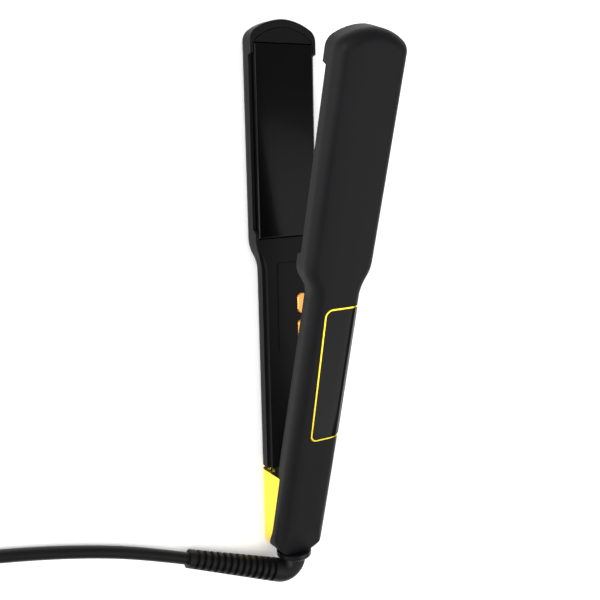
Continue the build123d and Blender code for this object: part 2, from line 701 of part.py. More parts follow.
save(upper_outer_shell.part, "upper_outer_shell")

# the inner shell starts just past the hinge cover's lip
INNER_START = (COVER_LIP + BASE_GAP - UPPER.origin.Y + (HANDLE_SPLIT + LIP_LAP) * sin(OPEN)) / cos(OPEN)
BOARD_FACE_UPPER = INNER_FACE + WALL + BOARD_RAISE
BOARD_SCREW_PLACES = [(-5, BOARD_START + 3), (-5, BOARD_START + BOARD_LENGTH - 3)]
with BuildPart() as upper_inner_shell:
    add(inner_shell(UPPER, INNER_START, HALF_BASE))
    with BuildSketch(UPPER.offset(INNER_FACE + WALL - 0.5)):
        with Locations(*BOARD_SCREW_PLACES):
            Circle(BOARD_SCREW_RADIUS + 1.3)
    extrude(amount=BOARD_RAISE + 0.5)
    with BuildSketch(UPPER.offset(INNER_FACE + 1)):
        with Locations(*BOARD_SCREW_PLACES):
            Circle(BOARD_SCREW_RADIUS)
    extrude(amount=WALL + BOARD_RAISE, mode=Mode.SUBTRACT)
save(upper_inner_shell.part, "upper_inner_shell")

with BuildPart() as display_bezel:
    with BuildSketch(mode=Mode.PRIVATE) as ring:
        add(display_outline())
        add(display_outline(BEZEL), mode=Mode.SUBTRACT)
    proud_form = arm_form(UPPER, COVER_LIP, HALF_BASE, -BEZEL_PROUD, -BEZEL_PROUD, ARM_DEPTH + BEZEL_PROUD)
    add(display_slice(proud_form, ring.sketch))
save(display_bezel.part, "display_bezel")

with BuildPart() as display_glass:
    add(display_slice(arm_form(UPPER, COVER_LIP, HALF_BASE), display_outline(BEZEL)))
save(display_glass.part, "display_glass")

with BuildPart() as display_module:
    with BuildSketch(DISPLAY.offset(-MODULE_DEPTH)):
        Rectangle(MODULE_WIDTH, MODULE_LENGTH)
    extrude(amount=MODULE_DEPTH)
save(display_module.part, "display_module")

with BuildPart() as control_board:
    with BuildSketch(UPPER.offset(BOARD_FACE_UPPER)):
        with Locations((0, BOARD_START + BOARD_LENGTH / 2)):
            Rectangle(BOARD_WIDTH, BOARD_LENGTH)
        with Locations(*BOARD_SCREW_PLACES):
            Circle(BOARD_SCREW_RADIUS, mode=Mode.SUBTRACT)
    extrude(amount=BOARD_SKIN)
save(control_board.part, "control_board")

COMPONENT_FACE = BOARD_FACE_UPPER + BOARD_SKIN
with BuildPart() as board_components:
    # a capacitor and a switching device past the display module's near end, a relay past its far end
    with BuildSketch(UPPER.offset(COMPONENT_FACE)):
        with Locations((3, BOARD_START + 6)):
            Rectangle(9, 7)
        with Locations((3, BOARD_START + BOARD_LENGTH - 6)):
            Rectangle(12, 7)
    extrude(amount=3)
    with BuildSketch(UPPER.offset(COMPONENT_FACE)):
        with Locations((-5, BOARD_START + 25), (-5, BOARD_START + 50)):
            Rectangle(7, 7)
    extrude(amount=1.2)
save(board_components.part, "board_components")

with BuildPart() as board_screws:
    with BuildSketch(UPPER.offset(INNER_FACE + 1.2)):
        with Locations(*BOARD_SCREW_PLACES):
            Circle(BOARD_SCREW_RADIUS)
    extrude(amount=COMPONENT_FACE - INNER_FACE - 1.2)
    with BuildSketch(UPPER.offset(COMPONENT_FACE)):
        with Locations(*BOARD_SCREW_PLACES):
            Circle(BOARD_SCREW_RADIUS * 1.8)
    extrude(amount=0.9)
save(board_screws.part, "board_screws")


# ---- Hinge --------------------------------------------------------------------------------
with BuildPart() as hinge_cover:
    add(hinge_end())
    add(hinge_end(COVER_WALL), mode=Mode.SUBTRACT)
    with BuildSketch(SIDE):
        add(cover_side())
    extrude(amount=HALF_HEAD + 1, both=True, mode=Mode.INTERSECT)
save(hinge_cover.part, "hinge_cover")

RETAINER_Y = BASE_END + WALL + RETAINER_GAP
NECK_END = RETAINER_Y + RETAINER_DEPTH + NECK_GROOVE
with BuildPart() as hinge_base:
    # a cup that fills the hinge end behind the fork, open towards it
    add(hinge_end(WALL + BASE_GAP))
    with BuildSketch(Plane.XZ.offset(-COVER_LIP * 2)):
        Rectangle(HEAD_WIDTH, HEAD_WIDTH * 3)
    extrude(amount=COVER_LIP * 2 - BASE_FRONT, mode=Mode.SUBTRACT)
    with BuildPart(mode=Mode.PRIVATE) as cup_room:
        add(hinge_end(WALL + BASE_GAP + BASE_SKIN))
        with BuildSketch(Plane.XZ.offset(-NECK_END - 2.4)):
            Rectangle(HEAD_WIDTH, HEAD_WIDTH * 3)
        extrude(amount=HEAD_WIDTH, mode=Mode.SUBTRACT)
    add(cup_room.part, mode=Mode.SUBTRACT)
    # the tongue that is screwed under the arm's back, and the lug that carries the pin
    with BuildSketch(beside(UPPER)):
        with Locations((TONGUE_START, TONGUE_FACE)):
            Rectangle(TONGUE_END - TONGUE_START, TONGUE_DEPTH, align=Align.MIN)
    extrude(amount=TONGUE_WIDTH / 2, both=True)
    with BuildSketch(beside(UPPER)):
        with Locations((0, -PIVOT_DROP)):
            Circle(KNUCKLE_RADIUS)
        with Locations((TONGUE_START, TONGUE_FACE)):
            Rectangle(KNUCKLE_RADIUS - TONGUE_START, 1, align=Align.MIN)
        make_hull()
    extrude(amount=LUG_WIDTH / 2, both=True)
    with BuildSketch(beside(UPPER)):
        with Locations((0, -PIVOT_DROP)):
            Circle(PIN_RADIUS)
    extrude(amount=LUG_WIDTH, both=True, mode=Mode.SUBTRACT)
    with BuildSketch(UPPER.offset(TONGUE_FACE)):
        for reach in BASE_SCREW_REACHES:
            with Locations((0, reach)):
                Circle(SCREW_RADIUS)
    extrude(amount=TONGUE_DEPTH, mode=Mode.SUBTRACT)
    # the room for the swivel's retainer, and the way through for the leads
    with BuildSketch(end_plane(NECK_END + 0.4)):
        Circle(RETAINER_RADIUS + 0.4)
    extrude(amount=HEAD_WIDTH, mode=Mode.SUBTRACT)
    with BuildSketch(end_plane(NECK_END + 3)):
        Circle(NECK_BORE)
    extrude(amount=HEAD_WIDTH, mode=Mode.SUBTRACT)
save(hinge_base.part, "hinge_base")

with BuildPart() as base_screws:
    with BuildSketch(UPPER.offset(TONGUE_FACE)):
        for reach in BASE_SCREW_REACHES:
            with Locations((0, reach)):
                Circle(SCREW_RADIUS)
    extrude(amount=ARM_DEPTH - WALL - TONGUE_FACE - 0.3)
    with BuildSketch(UPPER.offset(TONGUE_FACE)):
        for reach in BASE_SCREW_REACHES:
            with Locations((0, reach)):
                Circle(SCREW_RADIUS + 1)
    extrude(amount=-1.2)
save(base_screws.part, "base_screws")

CLIP_START = EAR_START + EAR_WIDTH + HINGE_GAP
with BuildPart() as hinge_pin:
    with BuildSketch(beside(UPPER)):
        with Locations((0, -PIVOT_DROP)):
            Circle(PIN_RADIUS)
    extrude(amount=PIN_HALF, both=True)
    with BuildSketch(beside(UPPER, CLIP_START), beside(UPPER, -CLIP_START - CLIP_DEPTH)):
        with Locations((0, -PIVOT_DROP)):
            Circle(PIN_RADIUS + 1)
            Circle(PIN_RADIUS - GROOVE, mode=Mode.SUBTRACT)
    extrude(amount=CLIP_DEPTH, mode=Mode.SUBTRACT)
save(hinge_pin.part, "hinge_pin")

with BuildPart() as pin_clips:
    with BuildSketch(beside(UPPER, CLIP_START), beside(UPPER, -CLIP_START - CLIP_DEPTH)):
        with Locations((0, -PIVOT_DROP)):
            Circle(CLIP_RADIUS)
            Circle(PIN_RADIUS - GROOVE, mode=Mode.SUBTRACT)
            Rectangle(2 * CLIP_RADIUS, 2.2, align=(Align.MAX, Align.CENTER), mode=Mode.SUBTRACT)
    extrude(amount=CLIP_DEPTH)
save(pin_clips.part, "pin_clips")

SPRING_SEAT = ARM_DEPTH - STRAP_FACE
tongue_rise = tan(OPEN)
spring_top = (UPPER.origin.Z + TONGUE_FACE / cos(OPEN)
              + (SPRING_Y - SPRING_RADIUS - SPRING_WIRE - UPPER.origin.Y) * tongue_rise)
with BuildPart() as opening_spring:
    height = spring_top - SPRING_SEAT - 2 * SPRING_WIRE
    with BuildLine() as coil:
        Helix(height / SPRING_TURNS, height, SPRING_RADIUS, center=(0, SPRING_Y, SPRING_SEAT + SPRING_WIRE))
    with BuildSketch(Plane(origin=coil.line @ 0, z_dir=coil.line % 0)):
        Circle(SPRING_WIRE)
    sweep()
save(opening_spring.part, "opening_spring")

with BuildPart() as supply_leads:
    for side in (-1, 1):
        with BuildLine() as way:
            FilletPolyline(
                (side * 1.3, BASE_END, SWIVEL_Z),
                (side * 1.3, -25, SWIVEL_Z),
                (side * 10.4, -16, SWIVEL_Z + 4),
                UPPER.from_local_coords((side * 10.4, 2, 8.8)),
                UPPER.from_local_coords((side * 10.4, BOARD_START - 4, 8.8)),
                UPPER.from_local_coords((side * 9.2, BOARD_START + 3, COMPONENT_FACE + LEAD_RADIUS)),
                radius=3,
            )
        with BuildSketch(Plane(origin=way.line @ 0, z_dir=way.line % 0)):
            Circle(LEAD_RADIUS)
        sweep()
save(supply_leads.part, "supply_leads")


# ---- Swivel, cord and plug ----------------------------------------------------------------
COLLAR_FACE = BASE_END - SWIVEL_GAP
COLLAR_END = COLLAR_FACE - COLLAR_LENGTH
with BuildPart() as swivel_collar:
    with BuildSketch(end_plane(COLLAR_FACE)):
        Circle(SWIVEL_RADIUS)
    extrude(amount=COLLAR_LENGTH)
    fillet(swivel_collar.faces().sort_by(Axis.Y)[0].edges(), COLLAR_ROUND)
    with BuildSketch(end_plane(NECK_END)):
        Circle(NECK_RADIUS)
    extrude(amount=NECK_END - COLLAR_FACE)
    with BuildSketch(end_plane(RETAINER_Y + RETAINER_DEPTH)):
        Circle(NECK_RADIUS + 1)
        Circle(NECK_RADIUS - NECK_GROOVE, mode=Mode.SUBTRACT)
    extrude(amount=RETAINER_DEPTH, mode=Mode.SUBTRACT)
    with BuildSketch(end_plane(NECK_END)):
        Circle(NECK_BORE)
    extrude(amount=NECK_END - COLLAR_END, mode=Mode.SUBTRACT)
save(swivel_collar.part, "swivel_collar")

with BuildPart() as swivel_retainer:
    with BuildSketch(end_plane(RETAINER_Y + RETAINER_DEPTH)):
        Circle(RETAINER_RADIUS)
        Circle(NECK_RADIUS - NECK_GROOVE, mode=Mode.SUBTRACT)
    extrude(amount=RETAINER_DEPTH)
save(swivel_retainer.part, "swivel_retainer")

CORD_RADIUS = CORD_DIAMETER / 2
CORD_Z = CORD_FLOOR + CORD_RADIUS
COIL_OUTER = COIL_RADIUS + (COIL_COLUMNS - 1) / 2 * CORD_DIAMETER
# Where the cord isn't coiled: from the strain relief's end to the coil.
ROUTE = [
    (-68.3, -25.1, 6.6),
    (-94, -15.6, 4.4),
    (-121, -7.2, CORD_Z),
    (-152, 0.5, CORD_Z),
    (-186, 7.0, CORD_Z),
    (-218, 12.4, CORD_Z),
    (-243.5, 16.4, CORD_Z),
]

relief_start = Vector(0, COLLAR_END, SWIVEL_Z)
relief_corner = Vector(0, COLLAR_END - ELBOW_REACH, SWIVEL_Z)
relief_end = Vector(ROUTE[0])
relief_way = (relief_end - relief_corner).normalized()
rib_start = relief_corner + relief_way * RIB_START
rib_length = (relief_end - rib_start).length
# local X of these planes points to the strain relief's smooth spine
spine_way = Vector(0, 0, 1).cross(relief_way)


def relief_plane(distance):
    """A plane across the strain relief's straight stretch, this far past its first rib."""
    return Plane(origin=rib_start + relief_way * distance, x_dir=spine_way, z_dir=relief_way)


with BuildPart() as strain_relief:
    with BuildLine() as elbow:
        FilletPolyline(relief_start, relief_corner, rib_start, radius=ELBOW_BEND)
    with BuildSketch(Plane(origin=elbow.line @ 0, z_dir=elbow.line % 0)):
        Circle(ELBOW_RADIUS)
    sweep()
    with BuildSketch(relief_plane(0)):
        Circle(ELBOW_RADIUS)
    with BuildSketch(relief_plane(rib_length)):
        Circle(RELIEF_TIP_RADIUS)
    loft()
    pitch = (rib_length - RELIEF_COLLAR) / RIB_COUNT
    for rib in range(RIB_COUNT):
        share = (rib + 0.5) / RIB_COUNT
        radius = ELBOW_RADIUS + (RELIEF_TIP_RADIUS - ELBOW_RADIUS) * share
        with BuildSketch(relief_plane((rib + 1) * pitch - RIB_GAP)):
            Circle(ELBOW_RADIUS + 1)
            Circle(radius * RIB_CORE, mode=Mode.SUBTRACT)
            with Locations((radius * RIB_CORE - 1, 0)):
                Rectangle(ELBOW_RADIUS, SPINE_WIDTH, align=(Align.MIN, Align.CENTER), mode=Mode.SUBTRACT)
        extrude(amount=RIB_GAP, mode=Mode.SUBTRACT)
save(strain_relief.part, "strain_relief")


def corner_radii(points):
    """The radius of each corner of a cord's route: as large as its two runs allow."""
    radii = []
    for before, corner, after in zip(points, points[1:], points[2:]):
        run_in = Vector(corner) - Vector(before)
        run_out = Vector(after) - Vector(corner)
        turn = radians(run_in.get_angle(run_out))
        radii.append(0.45 * min(run_in.length, run_out.length) / tan(turn / 2))
    return radii


CORD_RADII = corner_radii(ROUTE)
with BuildPart() as cord_tube:
    with BuildLine() as cord_way:
        FilletPolyline(*ROUTE, radius=CORD_RADII)
    with BuildSketch(Plane(origin=cord_way.line @ 0, z_dir=cord_way.line % 0)):
        Circle(CORD_RADIUS)
    sweep()
save(cord_tube.part, "cord_tube")
print("cord radii", [round(radius) for radius in CORD_RADII])

COIL_HEIGHT = COIL_LAYERS * CORD_DIAMETER
TAIL_END = COIL_ENTRY - COIL_TAIL
with BuildPart() as cord_coil:
    with BuildSketch(Plane.XY.offset(CORD_FLOOR)):
        with Locations(COIL_CENTRE):
            Circle(COIL_OUTER + CORD_RADIUS)
            Circle(COIL_RADIUS - COIL_COLUMNS / 2 * CORD_DIAMETER, mode=Mode.SUBTRACT)
    extrude(amount=COIL_HEIGHT)
    with BuildSketch(Plane.XY.offset(CORD_FLOOR + COIL_HEIGHT - 2)):
        with BuildLine():
            CenterArc(COIL_CENTRE, COIL_RADIUS, TAIL_END, COIL_TAIL)
        trace(line_width=CORD_DIAMETER)
    extrude(amount=CORD_DIAMETER + 2)
save(cord_coil.part, "cord_coil")

tail = radians(TAIL_END)
tail_way = Vector(sin(tail), -cos(tail), 0)
tail_end = Vector(
    COIL_CENTRE[0] + COIL_RADIUS * cos(tail),
    COIL_CENTRE[1] + COIL_RADIUS * sin(tail),
    CORD_FLOOR + COIL_HEIGHT + PLUG_DEPTH / 2,
)


def plug_plane(distance):
    """A plane across the plug, this far from the cord's end, with local Y up."""
    return Plane(origin=tail_end + tail_way * distance, x_dir=Vector(0, 0, 1).cross(tail_way) * -1, z_dir=tail_way)


with BuildPart() as plug_body:
    with BuildSketch(plug_plane(PLUG_RELIEF)):
        RectangleRounded(PLUG_WIDTH, PLUG_DEPTH, PLUG_DEPTH * 0.4)
    extrude(amount=PLUG_LENGTH)
    ends = plug_body.faces().filter_by(lambda f: abs(f.normal_at().dot(tail_way)) > 0.99)
    fillet(ends.edges(), 2)
    with BuildSketch(plug_plane(0)):
        Circle(CORD_RADIUS + 0.8)
    with BuildSketch(plug_plane(PLUG_RELIEF + 1)):
        Circle(PLUG_DEPTH / 2 - 1.4)
    loft()
save(plug_body.part, "plug_body")

with BuildPart() as plug_pins:
    with BuildSketch(plug_plane(PLUG_RELIEF + PLUG_LENGTH)):
        for side in (-1, 1):
            with Locations((side * PLUG_PIN_PITCH / 2, 0)):
                Rectangle(1.5, 6.35)
    extrude(amount=17)
save(plug_pins.part, "plug_pins")
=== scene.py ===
"""Looks of a professional hair straightening iron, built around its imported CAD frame. Metres, +Z up."""

import bpy
from math import cos, radians, sin
from mathutils import Matrix, Vector


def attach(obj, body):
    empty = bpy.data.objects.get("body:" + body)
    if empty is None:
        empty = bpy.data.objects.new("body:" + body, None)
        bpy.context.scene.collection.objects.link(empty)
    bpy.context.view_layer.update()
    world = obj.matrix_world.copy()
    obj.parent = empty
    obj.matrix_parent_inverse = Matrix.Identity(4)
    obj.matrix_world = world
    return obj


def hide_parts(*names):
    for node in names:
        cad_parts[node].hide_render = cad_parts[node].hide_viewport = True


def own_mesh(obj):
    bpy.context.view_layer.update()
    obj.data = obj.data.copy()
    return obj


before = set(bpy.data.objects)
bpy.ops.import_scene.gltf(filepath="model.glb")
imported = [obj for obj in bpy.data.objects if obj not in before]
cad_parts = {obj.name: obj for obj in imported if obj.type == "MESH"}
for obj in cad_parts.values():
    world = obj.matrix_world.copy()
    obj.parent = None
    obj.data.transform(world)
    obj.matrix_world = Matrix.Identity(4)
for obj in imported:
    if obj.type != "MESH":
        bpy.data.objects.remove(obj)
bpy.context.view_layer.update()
MM = 0.001


# ---- Small helpers ------------------------------------------------------------------------
def colour(hex_value, alpha=1.0):
    """An sRGB hex colour as the linear values that a shader wants."""
    channels = [int(hex_value[i:i + 2], 16) / 255 for i in (0, 2, 4)]
    linear = [c / 12.92 if c <= 0.04045 else ((c + 0.055) / 1.055) ** 2.4 for c in channels]
    return (*linear, alpha)


def add_node(tree, kind, links=(), **settings):
    """Adds a node, sets its properties and sockets by name, and links its inputs to other outputs."""
    node = tree.nodes.new(kind)
    for name, value in settings.items():
        if hasattr(node, name):
            setattr(node, name, value)
        else:
            node.inputs[name.replace("_", " ").capitalize()].default_value = value
    for socket, source in dict(links).items():
        tree.links.new(source, node.inputs[socket])
    return node


def principled(name, base, roughness, **sockets):
    """A new material with one Principled shader, and its tree and shader."""
    material = bpy.data.materials.new(name)
    material.use_nodes = True
    shader = material.node_tree.nodes["Principled BSDF"]
    shader.inputs["Base Color"].default_value = colour(base)
    shader.inputs["Roughness"].default_value = roughness
    for socket, value in sockets.items():
        shader.inputs[socket.replace("_", " ")].default_value = value
    return material, material.node_tree, shader


BROAD_SCALE = 28  # patches of uneven roughness and colour, some 36 mm across


def grain(tree, shader, size, height, detail=3.0, roughness=None, spread=0.0, tint=None, base=None):
    """Moulded or ground grain of this size in millimetres: bump, and some change in roughness and colour."""
    place = add_node(tree, "ShaderNodeTexCoord")
    noise = add_node(tree, "ShaderNodeTexNoise", {"Vector": place.outputs["Object"]})
    noise.inputs["Scale"].default_value = 1 / (size * MM)
    noise.inputs["Detail"].default_value = detail
    bump = add_node(tree, "ShaderNodeBump", {"Height": noise.outputs["Fac"]})
    bump.inputs["Strength"].default_value = 1.0
    bump.inputs["Distance"].default_value = height * MM
    tree.links.new(bump.outputs["Normal"], shader.inputs["Normal"])
    broad = add_node(tree, "ShaderNodeTexNoise", {"Vector": place.outputs["Object"]})
    broad.inputs["Scale"].default_value = BROAD_SCALE
    broad.inputs["Detail"].default_value = 4
    if roughness is not None:
        ease = add_node(tree, "ShaderNodeMapRange", {"Value": broad.outputs["Fac"]})
        ease.inputs["To Min"].default_value = roughness - spread
        ease.inputs["To Max"].default_value = roughness + spread
        tree.links.new(ease.outputs["Result"], shader.inputs["Roughness"])
    if tint:
        mix = add_node(tree, "ShaderNodeMix", {"Factor": broad.outputs["Fac"]}, data_type="RGBA")
        mix.inputs[6].default_value = colour(base)
        mix.inputs[7].default_value = colour(tint)
        tree.links.new(mix.outputs[2], shader.inputs["Base Color"])
    return noise


# ---- Materials ----------------------------------------------------------------------------
def soft_touch_abs():
    """ABS with a soft-touch lacquer: deep black that lifts to a cool grey where light grazes it."""
    material, tree, shader = principled("soft_touch_abs", "0D0D0F", 0.5, Specular_IOR_Level=0.14)
    grain(tree, shader, 0.35, 0.012, 2.0, 0.5, 0.05, "121214", "0B0B0D")
    return material


def textured_abs():
    """ABS moulded in a spark-eroded tool: black with a fine even grain."""
    material, tree, shader = principled("textured_abs", "0C0C0D", 0.5, Specular_IOR_Level=0.12)
    grain(tree, shader, 0.5, 0.03, 2.0, 0.5, 0.06, "101012", "0A0A0B")
    return material


def ceramic_coating():
    """Polished aluminium under a black ceramic coating: glossy, with very fine polishing lines along it."""
    material, tree, shader = principled("ceramic_coating", "050506", 0.16, Specular_IOR_Level=0.1,
                                        Coat_Weight=0.03, Coat_Roughness=0.05)
    place = add_node(tree, "ShaderNodeTexCoord")
    turn = add_node(tree, "ShaderNodeMapping", {"Vector": place.outputs["Object"]})
    turn.inputs["Scale"].default_value = (2500, 12, 2500)
    lines = add_node(tree, "ShaderNodeTexNoise", {"Vector": turn.outputs["Vector"]})
    lines.inputs["Scale"].default_value = 1
    lines.inputs["Detail"].default_value = 2
    bump = add_node(tree, "ShaderNodeBump", {"Height": lines.outputs["Fac"]})
    bump.inputs["Distance"].default_value = 0.0015 * MM
    tree.links.new(bump.outputs["Normal"], shader.inputs["Normal"])
    ease = add_node(tree, "ShaderNodeMapRange", {"Value": lines.outputs["Fac"]})
    ease.inputs["To Min"].default_value = 0.12
    ease.inputs["To Max"].default_value = 0.22
    tree.links.new(ease.outputs["Result"], shader.inputs["Roughness"])
    return material


def gold_plating():
    """Moulding plated with bright gold: a yellow mirror with the faint waviness of plated plastic."""
    material, tree, shader = principled("gold_plating", "FFE23A", 0.2, Metallic=1.0)
    grain(tree, shader, 7.0, 0.02, 1.0, 0.2, 0.05, "FFE94A", "FFD92C")
    return material


def gold_lacquer():
    """Translucent orange-gold lacquer over bright metallised plastic."""
    material, tree, shader = principled("gold_lacquer", "E8912A", 0.22, Metallic=0.75, Coat_Weight=0.8,
                                        Coat_Roughness=0.06)
    grain(tree, shader, 2.5, 0.015, 2.0, 0.24, 0.06, "F2A63A", "C46A14")
    return material


def smoked_acrylic():
    """Smoked acrylic display lens: a near black mirror finish that shows only reflections."""
    material, tree, shader = principled("smoked_acrylic", "030304", 0.06, Specular_IOR_Level=0.1,
                                        Coat_Weight=0.03, Coat_Roughness=0.03)
    grain(tree, shader, 20.0, 0.01, 1.0, 0.07, 0.02)
    return material


def pvc_flex():
    """Black PVC sheath: satin, slightly uneven as extruded."""
    material, tree, shader = principled("pvc_flex", "0B0B0C", 0.42, Specular_IOR_Level=0.2)
    grain(tree, shader, 1.6, 0.03, 3.0, 0.42, 0.07, "101011", "09090A")
    return material


def moulded_tpe():
    """Black TPE over-moulded on the cord: satin with a very fine grain."""
    material, tree, shader = principled("moulded_tpe", "0C0C0D", 0.45, Specular_IOR_Level=0.2)
    grain(tree, shader, 0.6, 0.02, 2.0, 0.45, 0.06, "111112", "0A0A0B")
    return material


def glossy_nylon():
    """Glass-filled nylon of the swivel: half gloss, black."""
    material, tree, shader = principled("glossy_nylon", "0C0C0D", 0.3, Specular_IOR_Level=0.2)
    grain(tree, shader, 0.8, 0.01, 2.0, 0.3, 0.05, "111112", "0A0A0B")
    return material


def zinc_steel():
    """Zinc-plated spring and pressed steel: grey metal with a soft sheen and fine drawing marks."""
    material, tree, shader = principled("zinc_steel", "B9BBBD", 0.34, Metallic=1.0)
    grain(tree, shader, 0.5, 0.006, 4.0, 0.34, 0.08, "C6C8CA", "A6A8AB")
    return material


def sintered_bronze():
    """Oil-filled sintered bronze: dull brown-gold with open pores."""
    material, tree, shader = principled("sintered_bronze", "A97C4A", 0.45, Metallic=1.0)
    grain(tree, shader, 0.25, 0.02, 4.0, 0.45, 0.1, "B98A55", "8F673B")
    return material


def fired_alumina():
    """Fired alumina heater plate: off-white, chalky."""
    material, tree, shader = principled("fired_alumina", "E3E0D6", 0.6, IOR=1.7)
    grain(tree, shader, 0.3, 0.01, 4.0, 0.6, 0.08, "EBE8E0", "D6D2C6")
    return material


def phenolic_resin():
    """Glass-filled phenolic resin: dark brown with paler flow marks."""
    material, tree, shader = principled("phenolic_resin", "4A3826", 0.5, IOR=1.6)
    grain(tree, shader, 1.2, 0.02, 5.0, 0.5, 0.08, "5A4530", "3B2C1D")
    return material


def silicone_rubber(name, base, tint):
    """Silicone rubber: matt, with a dusty bloom."""
    material, tree, shader = principled(name, base, 0.6, IOR=1.41)
    grain(tree, shader, 0.6, 0.01, 3.0, 0.6, 0.08, tint, base)
    return material


def solder_mask():
    """Epoxy board under green solder mask: half gloss, with the faint weave of its glass cloth."""
    material, tree, shader = principled("solder_mask", "0F5A2C", 0.3, IOR=1.5)
    grain(tree, shader, 0.7, 0.01, 1.0, 0.3, 0.05, "156B36", "0D4F27")
    return material


def epoxy_package():
    """Black epoxy of packaged components: fine matt grain."""
    material, tree, shader = principled("epoxy_package", "1C1C1E", 0.5, IOR=1.55)
    grain(tree, shader, 0.2, 0.01, 3.0, 0.5, 0.06, "26262A", "18181A")
    return material


def sensor_glass():
    """Amber glass bead of a thermistor or fuse."""
    material, tree, shader = principled("sensor_glass", "C98A4A", 0.12, IOR=1.52, Transmission_Weight=0.4)
    grain(tree, shader, 1.5, 0.005, 2.0, 0.12, 0.04)
    return material


def nickel_plating():
    """Nickel-plated brass blades: warm grey mirror with wiping marks."""
    material, tree, shader = principled("nickel_plating", "D2CEC4", 0.2, Metallic=1.0)
    grain(tree, shader, 0.8, 0.004, 4.0, 0.2, 0.06, "DBD8CF", "C2BDB2")
    return material


SHELL = soft_touch_abs()
INNER = textured_abs()
COATING = ceramic_coating()
GOLD = gold_plating()
LACQUER = gold_lacquer()
LENS = smoked_acrylic()
FLEX = pvc_flex()
TPE = moulded_tpe()
NYLON = glossy_nylon()
STEEL = zinc_steel()
BRONZE = sintered_bronze()
ALUMINA = fired_alumina()
RESIN = phenolic_resin()
PAD = silicone_rubber("silicone_pad", "8C2A1C", "9C3828")
LEAD = silicone_rubber("silicone_lead", "C9C9C6", "DADAD8")
BOARD = solder_mask()
PACKAGE = epoxy_package()
BEAD = sensor_glass()
NICKEL = nickel_plating()

NODE_MATERIALS = {
    SHELL: ("lower_outer_shell", "upper_outer_shell"),
    INNER: ("lower_inner_shell", "upper_inner_shell", "button_panel", "hinge_base"),
    COATING: ("lower_plate", "upper_plate"),
    GOLD: ("hinge_cover", "display_bezel"),
    LACQUER: ("power_button", "mode_button"),
    LENS: ("display_glass",),
    NYLON: ("swivel_collar", "swivel_retainer"),
    TPE: ("strain_relief", "plug_body"),
    FLEX: ("cord_tube", "cord_coil"),
    STEEL: ("hinge_fork", "hinge_pin", "pin_clips", "base_screws", "board_screws", "lower_tray_screws",
            "upper_tray_screws", "opening_spring"),
    BRONZE: ("hinge_bushes",),
    ALUMINA: ("lower_heater", "upper_heater"),
    RESIN: ("lower_plate_carrier", "upper_plate_carrier"),
    PAD: ("lower_cushion_pads", "upper_cushion_pads"),
    LEAD: ("lower_heater_leads", "upper_heater_leads", "supply_leads"),
    BOARD: ("control_board", "button_board"),
    PACKAGE: ("board_components", "button_switches", "display_module"),
    BEAD: ("temperature_sensor", "thermal_fuse"),
    NICKEL: ("plug_pins",),
}
for material, names in NODE_MATERIALS.items():
    for name in names:
        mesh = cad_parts[name].data
        mesh.materials.clear()
        mesh.materials.append(material)


# ---- Camera -------------------------------------------------------------------------------
CAMERA_PLACE = (-0.25510, 0.09469, 0.45209)
CAMERA_RIGHT = (0.85618, -0.02045, 0.51628)
CAMERA_BACK = (-0.50527, 0.17577, 0.84488)
CAMERA_LENS = 52.28
CAMERA_SHIFT = (0.0027, -0.0149)


def set_camera():
    """The camera looks down on the iron from its left, well above the table."""
    data = bpy.data.cameras.new("camera")
    camera = bpy.data.objects.new("camera", data)
    bpy.context.collection.objects.link(camera)
    right = Vector(CAMERA_RIGHT).normalized()
    back = Vector(CAMERA_BACK)
    back = (back - right * back.dot(right)).normalized()
    up = back.cross(right)
    turn = Matrix((right, up, back)).transposed().to_4x4()
    camera.matrix_world = Matrix.Translation(CAMERA_PLACE) @ turn
    data.sensor_width = 36
    data.lens = CAMERA_LENS
    data.shift_x, data.shift_y = CAMERA_SHIFT
    data.clip_start = 0.01
    data.clip_end = 20
    bpy.context.scene.camera = camera


set_camera()


# ---- Cord ---------------------------------------------------------------------------------
CORD_DIAMETER = 7.2 * MM
# The cord's route from the strain relief to the coil, in millimetres from the hinge pin.
PIN_Y = -124.4
ROUTE = [
    (-68.3, -25.1, 6.6),
    (-94, -15.6, 4.4),
    (-121, -7.2, 3.7),
    (-152, 0.5, 3.7),
    (-186, 7.0, 3.7),
    (-218, 12.4, 3.7),
]
COIL_CENTRE = (-236.0, 64.0)
COIL_RADIUS = 41.0  # at the middle of the turns
COIL_PITCH = 7.2  # from one turn to the next, across and up
FIRST_LAYER_Z = 3.7
TOP_LAYER_Z = 18.1
COIL_ENTRY = 261.0  # angle at which the cord joins the coil
COIL_TAIL = 125.0  # how far the last stretch runs along the coil's top
COIL_STEPS = 16  # control points in one turn
CROSSING_START = 0.72  # the share of a turn after which it moves to the next column or layer
TAIL_STEPS = 7
TAIL_LIFT = 1.5  # how much sooner than its end the last stretch is at the plug's height
PLUG_AXIS_Z = 28.9
# Each turn's column, counted from the coil's middle, and its layer.
COIL_TURNS = [(1, 0), (0, 0), (-1, 0), (-1, 1), (0, 1), (1, 1), (1, 2), (0, 2)]


def place(point):
    """A point given in millimetres from the hinge pin's foot, in the row's frame."""
    return Vector((point[0] * MM, (point[1] + PIN_Y) * MM, point[2] * MM))


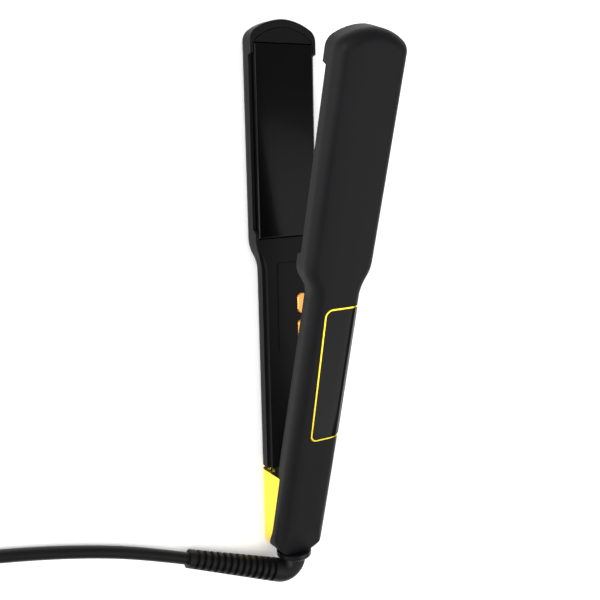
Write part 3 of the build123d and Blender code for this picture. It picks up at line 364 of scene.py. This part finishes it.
def coil_points():
    """The coil's turns: each holds its column and layer and moves to the next over its last quarter."""
    points = []
    steps = len(COIL_TURNS) * COIL_STEPS
    for step in range(steps):
        turn, part = divmod(step, COIL_STEPS)
        column, layer = COIL_TURNS[turn]
        after = COIL_TURNS[min(turn + 1, len(COIL_TURNS) - 1)]
        share = max(0.0, part / COIL_STEPS - CROSSING_START) / (1 - CROSSING_START)
        radius = COIL_RADIUS + COIL_PITCH * (column + (after[0] - column) * share)
        height = FIRST_LAYER_Z + COIL_PITCH * (layer + (after[1] - layer) * share)
        angle = radians(COIL_ENTRY - 360 * step / COIL_STEPS)
        points.append((COIL_CENTRE[0] + radius * cos(angle), COIL_CENTRE[1] + radius * sin(angle), height))
    # the last stretch climbs onto the coil and runs into the plug
    for step in range(TAIL_STEPS + 1):
        share = step / TAIL_STEPS
        angle = radians(COIL_ENTRY - COIL_TAIL * share)
        lift = min(1.0, share * TAIL_LIFT)
        ease = lift * lift * (3 - 2 * lift)
        height = TOP_LAYER_Z + (PLUG_AXIS_Z - TOP_LAYER_Z) * ease
        across = COIL_CENTRE[0] + COIL_RADIUS * cos(angle)
        along = COIL_CENTRE[1] + COIL_RADIUS * sin(angle)
        points.append((across, along, height))
    return points


def make_cord():
    """The mains cord: one smooth line from the strain relief over the table to its coil and plug."""
    points = [place(p) for p in ROUTE + coil_points()]
    curve = bpy.data.curves.new("mains_cord", "CURVE")
    curve.dimensions = "3D"
    spline = curve.splines.new("NURBS")
    spline.points.add(len(points) - 1)
    for control, point in zip(spline.points, points):
        control.co = (*point, 1)
    spline.order_u = 3
    spline.use_endpoint_u = True
    curve.resolution_u = 6
    curve.bevel_depth = CORD_DIAMETER / 2
    curve.bevel_resolution = 5
    curve.use_fill_caps = True
    piece = bpy.data.objects.new("mains_cord", curve)
    bpy.context.collection.objects.link(piece)
    curve.materials.append(FLEX)
    return piece, points


cord, cord_points = make_cord()
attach(cord, "cord_swivel")
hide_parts("cord_tube", "cord_coil")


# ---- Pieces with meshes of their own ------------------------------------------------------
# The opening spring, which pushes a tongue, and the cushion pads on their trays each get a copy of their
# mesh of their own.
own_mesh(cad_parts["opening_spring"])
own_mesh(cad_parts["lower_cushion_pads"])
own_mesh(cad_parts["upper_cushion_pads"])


# ---- Studio -------------------------------------------------------------------------------
FLOOR_HALF = 6.0
ROOM_LIGHT = 0.9
ROOM_IN_REFLECTIONS = 0.35
# Each lamp's place, size and power; all of them face the iron.
LAMPS = (
    ("key", (-0.9, 0.5, 1.3), (0.9, 0.9), 14),
    ("side_strip", (-1.0, -0.1, 0.35), (0.25, 1.4), 7),
    ("fill", (0.9, -0.6, 1.2), (1.2, 1.2), 8),
)


def set_studio():
    """A pale floor, a soft key from the upper left, a long strip for edge lights, and a bright room."""
    mesh = bpy.data.meshes.new("studio_floor")
    half = FLOOR_HALF
    corners = [(-half, -half, 0), (half, -half, 0), (half, half, 0), (-half, half, 0)]
    mesh.from_pydata(corners, [], [(0, 1, 2, 3)])
    floor = bpy.data.objects.new("studio_floor", mesh)
    bpy.context.collection.objects.link(floor)
    material, tree, shader = principled("floor_paper", "FFFFFF", 0.9)
    shader.inputs["Specular IOR Level"].default_value = 0.0
    grain(tree, shader, 2.0, 0.01, 2.0)
    mesh.materials.append(material)
    world = bpy.data.worlds.new("studio")
    world.use_nodes = True
    tree = world.node_tree
    # glossy rays meet a dimmer room than the one that lights the floor
    path = add_node(tree, "ShaderNodeLightPath")
    strength = add_node(tree, "ShaderNodeMapRange", {"Value": path.outputs["Is Glossy Ray"]})
    strength.inputs["To Min"].default_value = ROOM_LIGHT
    strength.inputs["To Max"].default_value = ROOM_IN_REFLECTIONS
    tree.nodes["Background"].inputs["Color"].default_value = (1, 1, 1, 1)
    tree.links.new(strength.outputs["Result"], tree.nodes["Background"].inputs["Strength"])
    bpy.context.scene.world = world
    bpy.context.scene.view_settings.view_transform = "Standard"
    centre = Vector((0, 0, 0.03))
    for name, position, size, power in LAMPS:
        light = bpy.data.lights.new(name, "AREA")
        light.shape = "RECTANGLE"
        light.size, light.size_y = size
        light.energy = power
        lamp = bpy.data.objects.new(name, light)
        lamp.location = position
        lamp.rotation_euler = (centre - Vector(position)).to_track_quat("-Z", "Y").to_euler()
        bpy.context.collection.objects.link(lamp)


set_studio()
